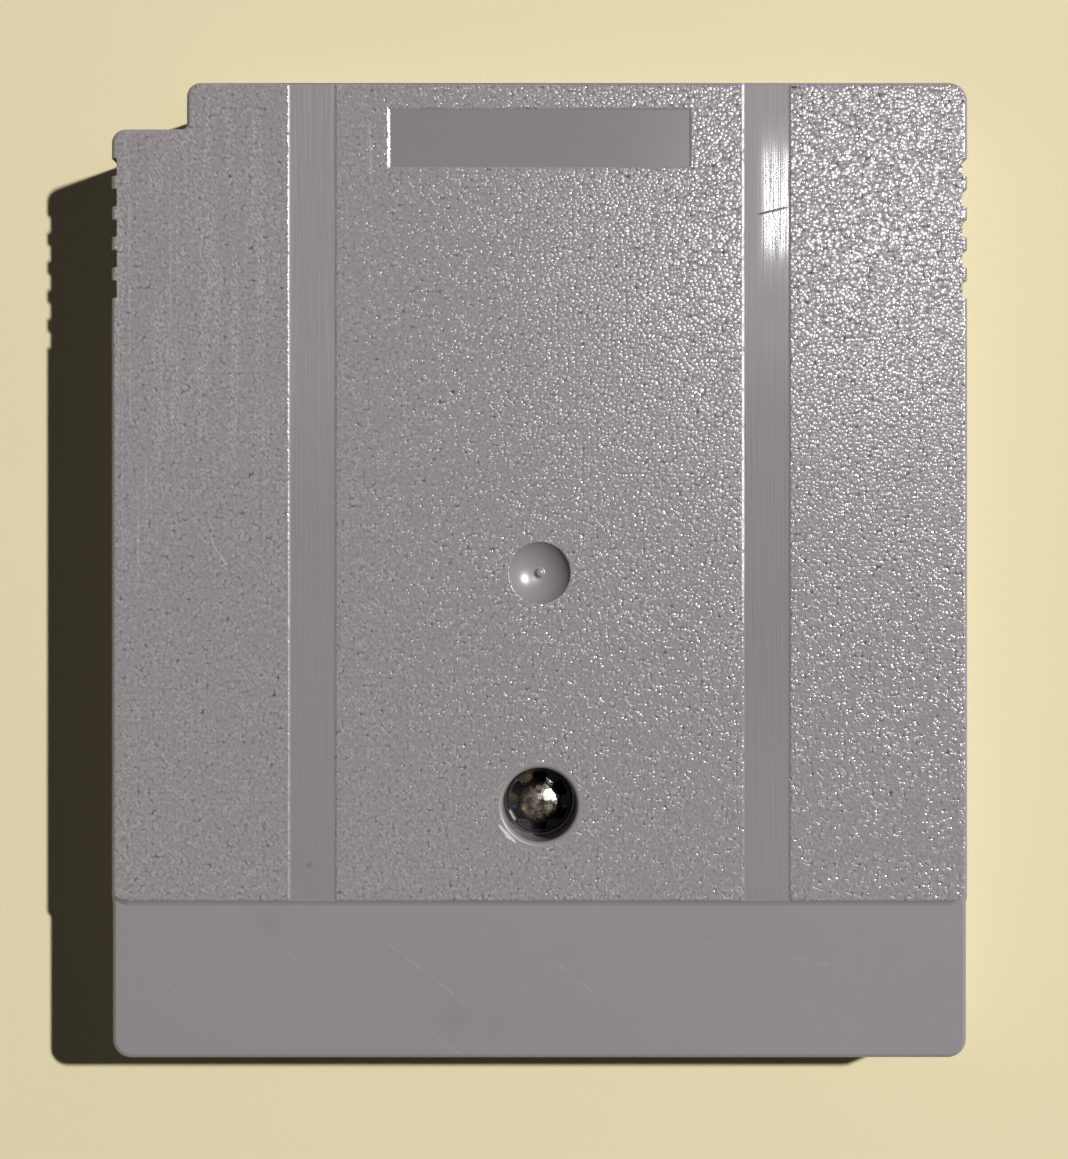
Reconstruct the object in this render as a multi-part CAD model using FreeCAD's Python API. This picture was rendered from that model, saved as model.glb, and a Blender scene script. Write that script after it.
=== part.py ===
import FreeCAD, Part
import math
import os

# A handheld game cartridge, in millimetres. It lies label side down. X runs across it, Y from
# the connector edge up to the top edge, and Z from the front face up to the rear face. The
# origin is the middle of the front face.

# Edge contacts and circuit board
contact_count = 32
contact_pitch = 1.5
contact_width = 1.0
contact_length = 6.5
contact_thickness = 0.05
contact_end_gap = 0.5
power_contact_end_gap = 0.1
contact_side_margin = 1.5
board_height = 55.3
board_thickness = 0.8
board_corner_cut = 1.2
board_edge_bevel = 0.25
board_recess = 1.2
board_clearance = 0.2
board_notch_depth = 1.3
board_notch_width = 2.4
board_notch_rise = 31.0

# Walls and inner spaces of the case
front_wall = 1.2
rear_wall = 1.4
side_wall = 1.5
board_rest_height = 0.2
board_rest_width = 1.0
board_rest_spacing = 17.0
board_rest_end_gap = 1.2
connector_space = 4.15
cheek_gap = 1.3
cheek_depth = 9.0
hook_bay = 7.0
mouth_chamfer = 0.2
stop_rib_width = 1.0
stop_rib_gap = 0.3
parting_above_board = 2.0
parting_chamfer = 0.12

# Outer edges and the keyed corner
edge_round = 0.35
corner_flat = 0.9
key_corner_flat = 0.6
key_notch_width = 5.0
key_notch_height = 3.1
key_notch_round = 0.3
inner_corner = 0.3

# Lap joint between the shells
lip_width = 0.6
lip_height = 0.8
lip_clearance = 0.1

# Grip notches in both sides
grip_count = 5
grip_pitch = 2.03
grip_first = 5.67
grip_width = 1.15
grip_depth = 0.37
grip_groove_length = 8.0
grip_groove_depth = 0.4

# Rear face
band_height = 10.6
band_drop = 0.3
band_slope = 0.4
panel_corner_radius = 1.5
panel_side_overrun = 0.3
guide_spacing = 30.2
guide_width = 3.25
guide_wall_run = 0.16
guide_depth = 0.06
name_place_width = 20.4
name_place_height = 4.25
name_place_below_top = 3.75
name_place_depth = 0.06
name_place_wall_run = 0.16
dimple_rise = 32.35
dimple_radius = 2.05
dimple_depth = 0.9
dimple_rim_depth = 0.12
dimple_rim_run = 0.06
dimple_nub_radius = 0.35
dimple_nub_height = 0.18

# Front face
label_place_width = 42.6
label_place_height = 37.6
label_place_above_band = 0.0
label_place_corner = 1.2
label_place_depth = 0.35
title_place_width = 38.0
title_place_height = 9.0
title_place_depth = 0.3
arrow_width = 4.6
arrow_height = 3.0
arrow_gap = 3.4
arrow_depth = 0.3

# Screw, its well in the rear shell and its boss on the front shell
screw_rise = 16.9
well_radius = 2.45
well_rim_round = 0.3
well_depth = 3.3
well_floor = 0.9
well_wall = 0.9
boss_radius = 2.5
boss_clearance = 0.3
screw_flange_gap = 0.2
screw_flange_height = 0.45
screw_crown_inset = 0.35
screw_crown_height = 1.45
screw_dome_height = 0.8
screw_scallop_count = 6
screw_scallop_radius = 0.55
screw_shank_radius = 1.0
screw_engagement = 2.0
screw_tip_chamfer = 0.3
shank_clearance = 0.15
thread_clearance = 0.03
pilot_clearance = 0.2

# Hooks at the top edge, hold-down posts and locating ribs
hook_spacing = 26.0
hook_width = 4.0
hook_thickness = 1.0
hook_foot_reach = 0.7
hook_foot_height = 0.8
hook_clearance = 0.15
hook_floor_gap = 0.4
catch_reach = 1.0
catch_height = 0.7
catch_side_margin = 0.5
post_radius = 1.0
post_edge_margin = 2.0
post_top_margin = 3.4
post_lower_rise = 11.4
rib_width = 1.2
rib_end_margin = 2.4
rib_above_board = 0.6
top_stop_width = 5.0
top_stop_spacing = 18.0

# Chips: length over the body, width over the body, span over the leads, lead count and pitch
rom_size = dict(length=20.6, width=11.3, span=14.1, lead_count=32, pitch=1.27)
ram_size = dict(length=18.1, width=8.6, span=11.8, lead_count=28, pitch=1.27)
bank_size = dict(length=15.4, width=7.5, span=10.3, lead_count=24, pitch=1.27)
reset_size = dict(length=5.0, width=4.4, span=6.4, lead_count=8, pitch=1.27)
chip_height = 2.3
chip_standoff = 0.1
chip_draft = 0.12
chip_mark_radius = 0.5
chip_mark_depth = 0.1
chip_mark_margin = 1.3
lead_width = 0.42
lead_thickness = 0.18
lead_foot = 0.7
lead_slope_run = 0.28

# Backup cell and its strips
cell_diameter = 16.0
cell_height = 1.6
cell_cap_inset = 1.2
cell_cap_height = 0.3
strip_width = 3.0
strip_spacing = 6.0
strip_thickness = 0.15
strip_foot = 1.8
strip_standoff = 0.6
strip_lap = 12.0

# Small parts with plated ends
capacitor_count = 4
resistor_count = 2
small_part_length = 2.0
small_part_width = 1.25
capacitor_height = 0.85
resistor_height = 0.5
small_part_end = 0.45

# Room round the components on the board
component_margin = 3.6
component_top_margin = 3.0
row_gap = 1.5
small_part_pitch = 4.0

# Sizes that follow from the driving ones
board_width = contact_count * contact_pitch + 2 * contact_side_margin
mouth_width = board_width + 2 * board_clearance
case_width = mouth_width + 2 * cheek_gap + 2 * side_wall
case_height = board_recess + board_height + hook_bay + side_wall
board_bottom_z = front_wall + board_rest_height
board_top_z = board_bottom_z + board_thickness
connector_top_z = board_top_z + contact_thickness + connector_space
case_thickness = connector_top_z + rear_wall
parting_z = board_top_z + parting_above_board
bottom_y = -case_height / 2
top_y = case_height / 2
side_x = case_width / 2
inner_top_y = top_y - side_wall
inner_side_x = side_x - side_wall
board_low_y = bottom_y + board_recess
board_high_y = board_low_y + board_height
board_side_x = board_width / 2
mouth_side_x = mouth_width / 2
cheek_high_y = bottom_y + cheek_depth
corner_radius = edge_round + corner_flat
key_corner_radius = edge_round + key_corner_flat
band_high_y = bottom_y + band_height
screw_y = bottom_y + screw_rise
well_floor_z = case_thickness - well_depth
well_base_z = well_floor_z - well_floor
screw_tip_z = well_base_z - screw_engagement
grip_heights = [top_y - grip_first - index * grip_pitch for index in range(grip_count)]

# A cutter reaches this far past the face that it opens
overrun = 1.0
# Edges and faces closer than this count as being at the same place
same_place = 0.001


def vec(x, y, z=0.0):
    return FreeCAD.Vector(x, y, z)


def box(low_x, high_x, low_y, high_y, low_z, high_z):
    return Part.makeBox(high_x - low_x, high_y - low_y, high_z - low_z, vec(low_x, low_y, low_z))


def cylinder(x, y, low_z, high_z, radius):
    return Part.makeCylinder(radius, high_z - low_z, vec(x, y, low_z))


def polygon_face(points):
    return Part.Face(Part.makePolygon(points + points[:1]))


def rectangle_wire(low_x, high_x, low_y, high_y, z):
    corners = [vec(low_x, low_y, z), vec(high_x, low_y, z), vec(high_x, high_y, z), vec(low_x, high_y, z)]
    return Part.makePolygon(corners + corners[:1])


def corner_arc(before, corner, after, radius):
    # Start, middle and end of the arc that rounds one corner of an outline
    back = (before - corner).normalize()
    ahead = (after - corner).normalize()
    half_angle = back.getAngle(ahead) / 2
    setback = radius / math.tan(half_angle)
    bisector = (back + ahead).normalize()
    middle = corner + bisector * (radius / math.sin(half_angle) - radius)
    return corner + back * setback, middle, corner + ahead * setback


def rounded_face(points, radii):
    arcs = []
    for index, corner in enumerate(points):
        after = points[(index + 1) % len(points)]
        arcs.append(corner_arc(points[index - 1], corner, after, radii[index]))
    edges = []
    for index, (start, middle, end) in enumerate(arcs):
        following_start = arcs[(index + 1) % len(arcs)][0]
        edges.append(Part.Arc(start, middle, end).toShape())
        if (following_start - end).Length > same_place:
            edges.append(Part.LineSegment(end, following_start).toShape())
    return Part.Face(Part.Wire(edges))


def rounded_rectangle(low_x, high_x, low_y, high_y, z, radius):
    points = [vec(low_x, low_y, z), vec(high_x, low_y, z), vec(high_x, high_y, z), vec(low_x, high_y, z)]
    return rounded_face(points, [radius] * len(points))


def upright(face, height):
    return face.extrude(vec(0, 0, height))


def turned(points_and_arcs, x, y):
    # Solid turned about the upright axis through (x, y), from edges in the XZ plane
    wire = Part.Wire(points_and_arcs)
    solid = Part.Face(wire).revolve(vec(0, 0, 0), vec(0, 0, 1), 360)
    solid.translate(vec(x, y, 0))
    return solid


def line(start, end):
    return Part.LineSegment(vec(start[0], 0, start[1]), vec(end[0], 0, end[1])).toShape()


def arc(start, middle, end):
    points = [vec(place[0], 0, place[1]) for place in (start, middle, end)]
    return Part.Arc(*points).toShape()


def chain(places):
    return [line(start, end) for start, end in zip(places, places[1:])]


def case_face(inset, z):
    # Outline of the case in plan, set in from the outside by the given amount
    left = -side_x + inset
    right = side_x - inset
    low = bottom_y + inset
    high = top_y - inset
    key_x = -side_x + key_notch_width + inset
    key_y = top_y - key_notch_height - inset
    points = [vec(left, low, z), vec(right, low, z), vec(right, high, z)]
    points += [vec(key_x, high, z), vec(key_x, key_y, z), vec(left, key_y, z)]
    plain = max(corner_radius - inset, inner_corner)
    keyed = max(key_corner_radius - inset, inner_corner)
    radii = [plain, plain, plain, keyed, key_notch_round + inset, keyed]
    return rounded_face(points, radii)


def rim_edges(block, z):
    rim = []
    for edge in block.Edges:
        reach = edge.BoundBox
        if abs(reach.ZMin - z) < same_place and abs(reach.ZMax - z) < same_place:
            rim.append(edge)
    return rim


def case_block(outer_z):
    # Full outline of the case from the parting line out to a face: that face's edge is rounded,
    # and the edge at the parting line is broken, so that the two shells meet in a fine groove
    block = upright(case_face(0, parting_z), outer_z - parting_z)
    block = block.makeFillet(edge_round, rim_edges(block, outer_z))
    return block.makeChamfer(parting_chamfer, rim_edges(block, parting_z))


def cavity(low_z, high_z):
    # Inner space: between the side walls, narrowed by the cheeks and open at the mouth
    space = upright(case_face(side_wall, low_z), high_z - low_z)
    for side in (-1, 1):
        edges = sorted((side * mouth_side_x, side * (side_x + overrun)))
        space = space.cut(box(*edges, bottom_y, cheek_high_y, low_z - overrun, high_z + overrun))
    mouth = box(-mouth_side_x, mouth_side_x, bottom_y - overrun, cheek_high_y, low_z, high_z)
    return space.fuse(mouth).removeSplitter()


def mouth_lead_in(inner_z, outward):
    # Wedge that breaks the inner edge of the mouth on one of its long walls
    tip = bottom_y - overrun
    points = [vec(-mouth_side_x, bottom_y + mouth_chamfer, inner_z)]
    points.append(vec(-mouth_side_x, tip, inner_z + outward * (mouth_chamfer + overrun)))
    points.append(vec(-mouth_side_x, tip, inner_z))
    return polygon_face(points).extrude(vec(mouth_width, 0, 0))


def lip_band(inset, low_z, high_z, low_y):
    # Space between the given inset and the inner wall, above the cheeks only
    band = upright(case_face(inset, low_z), high_z - low_z)
    keep = box(-side_x, side_x, low_y, top_y, low_z - overrun, high_z + overrun)
    return band.common(keep)


def grip_notches():
    notches = []
    for height in grip_heights:
        low_y = height - grip_width / 2
        high_y = height + grip_width / 2
        for side in (-1, 1):
            edges = sorted((side * (side_x - grip_depth), side * (side_x + overrun)))
            notches.append(box(*edges, low_y, high_y, -overrun, case_thickness + overrun))
    return notches


def raised_panel():
    # Upper part of the rear face: its lower edge slopes down to the band, with rounded ends
    low_z = case_thickness - band_drop - edge_round - overrun
    rise = case_thickness + overrun - low_z
    lean = band_slope / band_drop
    low_y = band_high_y - lean * (case_thickness - low_z)
    half = side_x + panel_side_overrun
    far_y = top_y + overrun + lean * rise
    face = rounded_rectangle(-half, half, low_y, far_y, low_z, panel_corner_radius)
    wedge = face.extrude(vec(0, lean * rise, rise))
    top = box(-half, half, band_high_y + panel_corner_radius, top_y, low_z, case_thickness)
    return case_block(case_thickness).common(wedge.fuse(top))


def guide_groove(x):
    low_half = guide_width / 2 - guide_wall_run
    high_half = guide_width / 2 + guide_wall_run * overrun / guide_depth
    low_z = case_thickness - guide_depth
    high_z = case_thickness + overrun
    start_y = band_high_y - band_height / 2
    points = [vec(x - low_half, start_y, low_z), vec(x + low_half, start_y, low_z)]
    points += [vec(x + high_half, start_y, high_z), vec(x - high_half, start_y, high_z)]
    return polygon_face(points).extrude(vec(0, top_y + overrun - start_y, 0))


def name_place():
    # Bare recess with sloping walls near the top of the rear face
    middle_y = top_y - name_place_below_top
    wires = []
    for depth in (-name_place_depth, name_place_depth):
        spread = name_place_wall_run * depth / name_place_depth
        half_x = name_place_width / 2 + spread - name_place_wall_run / 2
        half_y = name_place_height / 2 + spread - name_place_wall_run / 2
        z = case_thickness + depth
        wires.append(rectangle_wire(-half_x, half_x, middle_y - half_y, middle_y + half_y, z))
    return Part.makeLoft(wires, True, True)


def gate_dimple():
    # Dished mark of the moulding gate with a small nub at its centre
    rim_z = case_thickness - dimple_rim_depth
    rim_radius = dimple_radius - dimple_rim_run
    floor_z = case_thickness - dimple_depth
    nub_z = floor_z + dimple_nub_height
    dish_radius = (rim_radius + dimple_nub_radius) / 2
    dish_z = floor_z + (rim_z - floor_z) / 4
    places = [(0, nub_z), (0, case_thickness + overrun), (dimple_radius, case_thickness + overrun)]
    places += [(dimple_radius, case_thickness), (rim_radius, rim_z)]
    edges = chain(places)
    edges.append(arc((rim_radius, rim_z), (dish_radius, dish_z), (dimple_nub_radius, floor_z)))
    edges += chain([(dimple_nub_radius, floor_z), (dimple_nub_radius / 2, nub_z), (0, nub_z)])
    return turned(edges, 0, bottom_y + dimple_rise)


def screw_well():
    # Space over the screw head, flared by the rounded rim
    rim_low = case_thickness - well_rim_round
    rim_outer = well_radius + well_rim_round
    slack = well_rim_round * (1 - math.sqrt(0.5))
    edges = chain([(well_radius, rim_low), (well_radius, well_floor_z), (0, well_floor_z)])
    edges += chain([(0, well_floor_z), (0, case_thickness + overrun), (rim_outer, case_thickness + overrun)])
    edges += chain([(rim_outer, case_thickness + overrun), (rim_outer, case_thickness)])
    edges.append(arc((rim_outer, case_thickness), (well_radius + slack, case_thickness - slack),
                     (well_radius, rim_low)))
    return turned(edges, 0, screw_y)


def hook(x):
    # Tongue from the rear shell with a foot that reaches under the catch
    back_y = inner_top_y - catch_reach - hook_clearance
    front_y = back_y - hook_thickness
    low_z = front_wall + hook_floor_gap
    foot_z = low_z + hook_foot_height
    start_x = x - hook_width / 2
    points = [vec(start_x, front_y, low_z), vec(start_x, back_y + hook_foot_reach, low_z)]
    points += [vec(start_x, back_y + hook_foot_reach, foot_z), vec(start_x, back_y, foot_z)]
    points += [vec(start_x, back_y, connector_top_z + rear_wall / 2)]
    points += [vec(start_x, front_y, connector_top_z + rear_wall / 2)]
    return polygon_face(points).extrude(vec(hook_width, 0, 0))


def catch(x):
    low_z = front_wall + hook_floor_gap + hook_foot_height + hook_clearance
    half = hook_width / 2 + catch_side_margin
    high_y = top_y - side_wall / 2
    return box(x - half, x + half, inner_top_y - catch_reach, high_y, low_z, low_z + catch_height)


def hold_down_posts():
    posts = []
    for x in (-board_side_x + post_edge_margin, board_side_x - post_edge_margin):
        for y in (board_high_y - post_top_margin, board_low_y + post_lower_rise):
            posts.append(cylinder(x, y, board_top_z, connector_top_z + rear_wall / 2, post_radius))
    return posts


def stop_rib():
    # Wall across the inner end of the connector space, just clear of the contacts and cheeks
    low_z = board_top_z + contact_thickness + stop_rib_gap
    reach = mouth_side_x - board_clearance
    root_z = connector_top_z + rear_wall / 2
    return box(-reach, reach, cheek_high_y - stop_rib_width, cheek_high_y, low_z, root_z)


def rear_shell():
    shell = case_block(case_thickness - band_drop)
    shell = shell.fuse(raised_panel()).removeSplitter()
    shell = shell.cut(cavity(parting_z - overrun, connector_top_z))
    lip_low_y = cheek_high_y + lip_clearance
    lip = lip_band(side_wall - lip_width, parting_z - lip_height, parting_z + lip_height, lip_low_y)
    lip = lip.cut(upright(case_face(side_wall, parting_z - lip_height - overrun), case_thickness))
    tube = cylinder(0, screw_y, well_base_z, connector_top_z + rear_wall / 2, well_radius + well_wall)
    hooks = [hook(x) for x in (-hook_spacing / 2, hook_spacing / 2)]
    shell = shell.fuse([lip, tube, stop_rib()] + hooks + hold_down_posts())
    shell = shell.removeSplitter()
    shank_hole = cylinder(0, screw_y, well_base_z - overrun, well_floor_z + overrun,
                          screw_shank_radius + shank_clearance)
    cutters = [screw_well(), shank_hole, name_place(), gate_dimple()]
    cutters += [guide_groove(-guide_spacing / 2), guide_groove(guide_spacing / 2)]
    cutters += [mouth_lead_in(connector_top_z, 1)]
    return shell.cut(cutters + grip_notches())


def board_rests():
    # Three low rails under the board, clear of the screw boss
    rests = []
    for x in (-board_rest_spacing, 0, board_rest_spacing):
        low_y = board_low_y + board_rest_end_gap
        if abs(x) < boss_radius + board_rest_width:
            low_y = screw_y + boss_radius + board_clearance
        high_y = board_high_y - board_rest_end_gap
        half = board_rest_width / 2
        rests.append(box(x - half, x + half, low_y, high_y, front_wall / 2, board_bottom_z))
    return rests


def board_guides():
    # Ribs that hold the board sideways, one pair in its notches, and two stops above it
    guides = []
    high_z = board_top_z + rib_above_board
    notch_y = board_low_y + board_notch_rise
    plain_ys = [cheek_high_y + rib_end_margin, board_high_y - board_corner_cut - rib_end_margin]
    for side in (-1, 1):
        wall_x = side * (inner_side_x + side_wall / 4)
        for y in plain_ys:
            edges = sorted((side * mouth_side_x, wall_x))
            guides.append(box(*edges, y - rib_width / 2, y + rib_width / 2, front_wall / 2, high_z))
        key_half = board_notch_width / 2 - board_clearance
        edges = sorted((side * (mouth_side_x - board_notch_depth), wall_x))
        guides.append(box(*edges, notch_y - key_half, notch_y + key_half, front_wall / 2, high_z))
    for x in (-top_stop_spacing / 2, top_stop_spacing / 2):
        low_y = board_high_y + board_clearance
        half = top_stop_width / 2
        guides.append(box(x - half, x + half, low_y, low_y + rib_width, front_wall / 2, high_z))
    return guides


def front_grip_grooves():
    grooves = []
    for height in grip_heights:
        for side in (-1, 1):
            edges = sorted((side * (side_x - grip_groove_length), side * (side_x + overrun)))
            low_y = height - grip_width / 2
            grooves.append(box(*edges, low_y, low_y + grip_width, -overrun, grip_groove_depth))
    return grooves


def title_place():
    # Bare recess with round ends between the grip grooves
    middle_y = sum(grip_heights) / grip_count
    half_x = title_place_width / 2
    half_y = title_place_height / 2
    face = rounded_rectangle(-half_x, half_x, middle_y - half_y, middle_y + half_y, -overrun, half_y)
    return upright(face, overrun + title_place_depth)


def label_place():
    # Bare shallow recess where such a cartridge takes its label
    low_y = band_high_y + label_place_above_band
    half_x = label_place_width / 2
    high_y = low_y + label_place_height
    face = rounded_rectangle(-half_x, half_x, low_y, high_y, -overrun, label_place_corner)
    return upright(face, overrun + label_place_depth)


def insertion_arrow():
    # Plain triangle that points to the connector edge
    high_y = band_high_y - arrow_gap
    points = [vec(-arrow_width / 2, high_y, -overrun), vec(arrow_width / 2, high_y, -overrun)]
    points.append(vec(0, high_y - arrow_height, -overrun))
    return upright(polygon_face(points), overrun + arrow_depth)


def front_shell():
    shell = case_block(0)
    shell = shell.cut(cavity(front_wall, parting_z + overrun))
    rebate = lip_band(side_wall - lip_width - lip_clearance, parting_z - lip_height - lip_clearance,
                      parting_z + overrun, cheek_high_y)
    shell = shell.cut(rebate)
    boss = cylinder(0, screw_y, front_wall / 2, well_base_z, boss_radius)
    catches = [catch(x) for x in (-hook_spacing / 2, hook_spacing / 2)]
    shell = shell.fuse([boss] + catches + board_rests() + board_guides()).removeSplitter()
    pilot = cylinder(0, screw_y, screw_tip_z - pilot_clearance, well_base_z + overrun,
                     screw_shank_radius + thread_clearance)
    cutters = [pilot, title_place(), label_place(), insertion_arrow()]
    cutters += [mouth_lead_in(front_wall, -1)]
    return shell.cut(cutters + front_grip_grooves() + grip_notches())


def case_screw():
    # Flange, domed crown with scallops for a socket driver, and a plain shank
    flange_radius = well_radius - screw_flange_gap
    flange_z = well_floor_z + screw_flange_height
    crown_radius = flange_radius - screw_crown_inset
    crown_z = flange_z + screw_crown_height
    shoulder_z = crown_z - screw_dome_height
    dome_radius = (crown_radius ** 2 + screw_dome_height ** 2) / (2 * screw_dome_height)
    half_turn = math.asin(crown_radius / dome_radius) / 2
    dome_middle = (dome_radius * math.sin(half_turn), crown_z - dome_radius * (1 - math.cos(half_turn)))
    root_z = flange_z - screw_flange_height / 2
    edges = chain([(0, crown_z), (0, root_z), (crown_radius, root_z), (crown_radius, shoulder_z)])
    edges.append(arc((crown_radius, shoulder_z), dome_middle, (0, crown_z)))
    crown = turned(edges, 0, screw_y)
    scallops = []
    for index in range(screw_scallop_count):
        turn = 2 * math.pi * index / screw_scallop_count
        x = crown_radius * math.cos(turn)
        y = screw_y + crown_radius * math.sin(turn)
        scallops.append(cylinder(x, y, flange_z, crown_z + overrun, screw_scallop_radius))
    crown = crown.cut(scallops)
    flange = cylinder(0, screw_y, well_floor_z, flange_z, flange_radius)
    tip_radius = screw_shank_radius - screw_tip_chamfer
    places = [(0, screw_tip_z), (tip_radius, screw_tip_z)]
    places += [(screw_shank_radius, screw_tip_z + screw_tip_chamfer)]
    places += [(screw_shank_radius, flange_z), (0, flange_z), (0, screw_tip_z)]
    shank = turned(chain(places), 0, screw_y)
    return flange.fuse([crown, shank]).removeSplitter()


def circuit_board():
    cut = board_corner_cut
    notch_y = board_low_y + board_notch_rise
    notch_half = board_notch_width / 2
    points = [vec(-board_side_x, board_low_y), vec(board_side_x, board_low_y)]
    points += [vec(board_side_x, board_high_y - cut), vec(board_side_x - cut, board_high_y)]
    points += [vec(-board_side_x + cut, board_high_y), vec(-board_side_x, board_high_y - cut)]
    face = polygon_face(points)
    board = upright(face, board_thickness)
    board.translate(vec(0, 0, board_bottom_z))
    cutters = [cylinder(0, screw_y, 0, case_thickness, boss_radius + boss_clearance)]
    for side in (-1, 1):
        edges = sorted((side * (board_side_x - board_notch_depth), side * (board_side_x + overrun)))
        cutters.append(box(*edges, notch_y - notch_half, notch_y + notch_half, 0, case_thickness))
    for z, inward in ((board_bottom_z, 1), (board_top_z, -1)):
        edge = [vec(-case_width, board_low_y + board_edge_bevel, z)]
        edge.append(vec(-case_width, board_low_y, z + inward * board_edge_bevel))
        edge.append(vec(-case_width, board_low_y, z))
        cutters.append(polygon_face(edge).extrude(vec(2 * case_width, 0, 0)))
    return board.cut(cutters)


def edge_contacts():
    # The first and last strips carry the supply and start nearer to the edge, to meet first
    strips = []
    flat_y = board_low_y + board_edge_bevel
    high_y = flat_y + contact_end_gap + contact_length
    for index in range(contact_count):
        x = (index - (contact_count - 1) / 2) * contact_pitch
        half = contact_width / 2
        low_y = flat_y + contact_end_gap
        if index in (0, contact_count - 1):
            low_y = flat_y + power_contact_end_gap
        strips.append(box(x - half, x + half, low_y, high_y, board_top_z, board_top_z + contact_thickness))
    return Part.makeCompound(strips)


def chip_body(x, y, size):
    # Moulded body with sides that draw in above and below the leads, and a mark at the first lead
    low_z = board_top_z + chip_standoff
    wires = []
    for z, inset in ((low_z, chip_draft), (low_z + chip_height / 2, 0), (low_z + chip_height, chip_draft)):
        half_x = size["length"] / 2 - inset
        half_y = size["width"] / 2 - inset
        wires.append(rectangle_wire(x - half_x, x + half_x, y - half_y, y + half_y, z))
    body = Part.makeLoft(wires, True, True)
    mark_x = x - size["length"] / 2 + chip_mark_margin
    mark_y = y - size["width"] / 2 + chip_mark_margin
    high_z = low_z + chip_height
    mark = cylinder(mark_x, mark_y, high_z - chip_mark_depth, high_z + overrun, chip_mark_radius)
    return body.cut(mark)


def chip_leads(x, y, size):
    # Gull wing leads along both long sides, from the middle of the body down to the board
    reach = (size["span"] - size["width"]) / 2
    high_z = board_top_z + chip_standoff + chip_height / 2 - lead_thickness / 2
    heel = reach - lead_foot
    path = [(0, high_z), (heel - lead_slope_run, high_z), (heel, board_top_z), (reach, board_top_z)]
    section = path + [(out, z + lead_thickness) for out, z in reversed(path)]
    per_side = size["lead_count"] // 2
    leads = []
    for side in (-1, 1):
        for index in range(per_side):
            start_x = x + (index - (per_side - 1) / 2) * size["pitch"] - lead_width / 2
            points = [vec(start_x, y + side * (size["width"] / 2 + out), z) for out, z in section]
            leads.append(polygon_face(points).extrude(vec(lead_width, 0, 0)))
    return Part.makeCompound(leads)


def backup_cell(x, y):
    # Can with a smaller cap at its lower face, resting on the negative strip
    low_z = board_top_z + strip_thickness
    cap = cylinder(x, y, low_z, low_z + cell_cap_height, cell_diameter / 2 - cell_cap_inset)
    can = cylinder(x, y, low_z + cell_cap_height, low_z + cell_height, cell_diameter / 2)
    return cap.fuse(can)


def negative_strip(x, y):
    strip_x = x - strip_spacing / 2
    half = strip_width / 2
    high_y = y + cell_diameter / 2 + strip_standoff + strip_foot
    low_y = y + cell_diameter / 2 - strip_lap
    return box(strip_x - half, strip_x + half, low_y, high_y, board_top_z, board_top_z + strip_thickness)


def positive_strip(x, y):
    # Runs over the can, down past its side and out along the board
    start_x = x + strip_spacing / 2 - strip_width / 2
    high_z = board_top_z + strip_thickness + cell_height
    drop_y = y + cell_diameter / 2 + strip_standoff
    start_y = y + cell_diameter / 2 - strip_lap
    path = [(start_y, high_z), (drop_y, high_z), (drop_y, board_top_z)]
    path += [(drop_y + strip_foot, board_top_z), (drop_y + strip_foot, board_top_z + strip_thickness)]
    path += [(drop_y + strip_thickness, board_top_z + strip_thickness)]
    path += [(drop_y + strip_thickness, high_z + strip_thickness)]
    path += [(start_y, high_z + strip_thickness)]
    points = [vec(start_x, place_y, z) for place_y, z in path]
    return polygon_face(points).extrude(vec(strip_width, 0, 0))


def small_part(x, y, height):
    # Middle of a chip capacitor or resistor, and its two plated ends
    half_x = small_part_length / 2
    half_y = small_part_width / 2
    low_z = board_top_z
    high_z = board_top_z + height
    middle_half = half_x - small_part_end
    middle = box(x - middle_half, x + middle_half, y - half_y, y + half_y, low_z, high_z)
    ends = []
    for side in (-1, 1):
        edges = sorted((x + side * half_x, x + side * middle_half))
        ends.append(box(*edges, y - half_y, y + half_y, low_z, high_z))
    return middle, Part.makeCompound(ends)


# Places on the board: two columns of chips between the hold-down posts
left_x = -board_side_x + component_margin
right_x = board_side_x - component_margin
first_row_y = board_high_y - component_top_margin
rom_x = left_x + rom_size["length"] / 2
rom_y = first_row_y - rom_size["span"] / 2
ram_x = left_x + ram_size["length"] / 2
ram_y = rom_y - rom_size["span"] / 2 - row_gap - ram_size["span"] / 2
cell_x = right_x - cell_diameter / 2
cell_y = first_row_y - strip_foot - strip_standoff - cell_diameter / 2
bank_x = right_x - bank_size["length"] / 2
bank_y = cell_y - cell_diameter / 2 - row_gap - bank_size["span"] / 2
reset_x = bank_x
reset_y = bank_y - bank_size["span"] / 2 - row_gap - reset_size["span"] / 2
small_row_y = ram_y - ram_size["span"] / 2 - row_gap - small_part_width / 2

nodes = {}
nodes["rear_shell"] = rear_shell()
nodes["front_shell"] = front_shell()
nodes["case_screw"] = case_screw()
nodes["circuit_board"] = circuit_board()
nodes["edge_contacts"] = edge_contacts()
chips = {
    "rom_chip": (rom_x, rom_y, rom_size),
    "ram_chip": (ram_x, ram_y, ram_size),
    "bank_switch_chip": (bank_x, bank_y, bank_size),
    "reset_chip": (reset_x, reset_y, reset_size),
}
for name, (x, y, size) in chips.items():
    nodes[name] = chip_body(x, y, size)
    nodes[name + "_leads"] = chip_leads(x, y, size)
nodes["backup_cell"] = backup_cell(cell_x, cell_y)
nodes["cell_negative_tab"] = negative_strip(cell_x, cell_y)
nodes["cell_positive_tab"] = positive_strip(cell_x, cell_y)

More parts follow.
